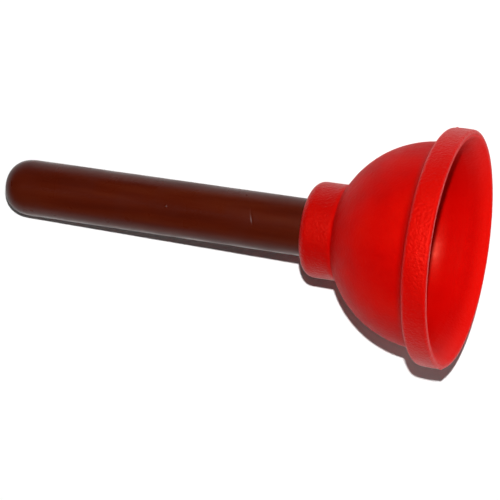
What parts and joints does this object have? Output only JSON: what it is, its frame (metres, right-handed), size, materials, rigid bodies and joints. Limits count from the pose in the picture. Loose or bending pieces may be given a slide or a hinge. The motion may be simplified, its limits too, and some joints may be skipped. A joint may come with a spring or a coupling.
{
  "type": "toilet plunger",
  "caption": "Hand plunger: a red rubber cup with a stepped rim and a collar neck, screwed to a short round-ended brown plastic handle.",
  "frame": {"origin": "centre of the rim's flat end face, which is the face the plunger stands on", "axes": "+Z along the plunger's axis from the rim to the handle's rounded end; the piece is round about Z, so +X and +Y have no preferred side"},
  "size_m": [0.1166, 0.1166, 0.241],
  "materials": {
    "cup_rubber": "semi-gloss moulded red rubber, fine matt grain",
    "insert_plastic": "natural off-white moulded plastic",
    "washer_rubber": "matt black rubber",
    "handle_plastic": "glossy dark red-brown moulded plastic",
    "plug_plastic": "satin dark brown moulded plastic"
  },
  "bodies": {
    "cup": {"cup": "cup_rubber"},
    "neck": {"thread_insert": "insert_plastic"},
    "washer": {"sealing_washer": "washer_rubber"},
    "handle": {"handle_shell": "handle_plastic", "threaded_plug": "plug_plastic"}
  },
  "joints": [
    {"name": "plunge_stroke", "type": "slide", "parent": "cup", "child": "neck", "axis": [0, 0, -1], "range_m": [0, 0.02], "stiffness_N_per_m": 2500, "deforming": ["cup"]},
    {"name": "unscrew_lift", "type": "slide", "parent": "neck", "child": "washer", "axis": [0, 0, 1], "range_m": [0, 0.01626]},
    {"name": "unscrew_turn", "type": "hinge", "parent": "washer", "child": "handle", "pos_m": [0, 0, 0.0675], "axis": [0, 0, 1], "range_deg": [0, 1153]}
  ],
  "couplings": [
    {"joint": "unscrew_turn", "follows": "unscrew_lift", "rad_per_m": 1236.8}
  ]
}
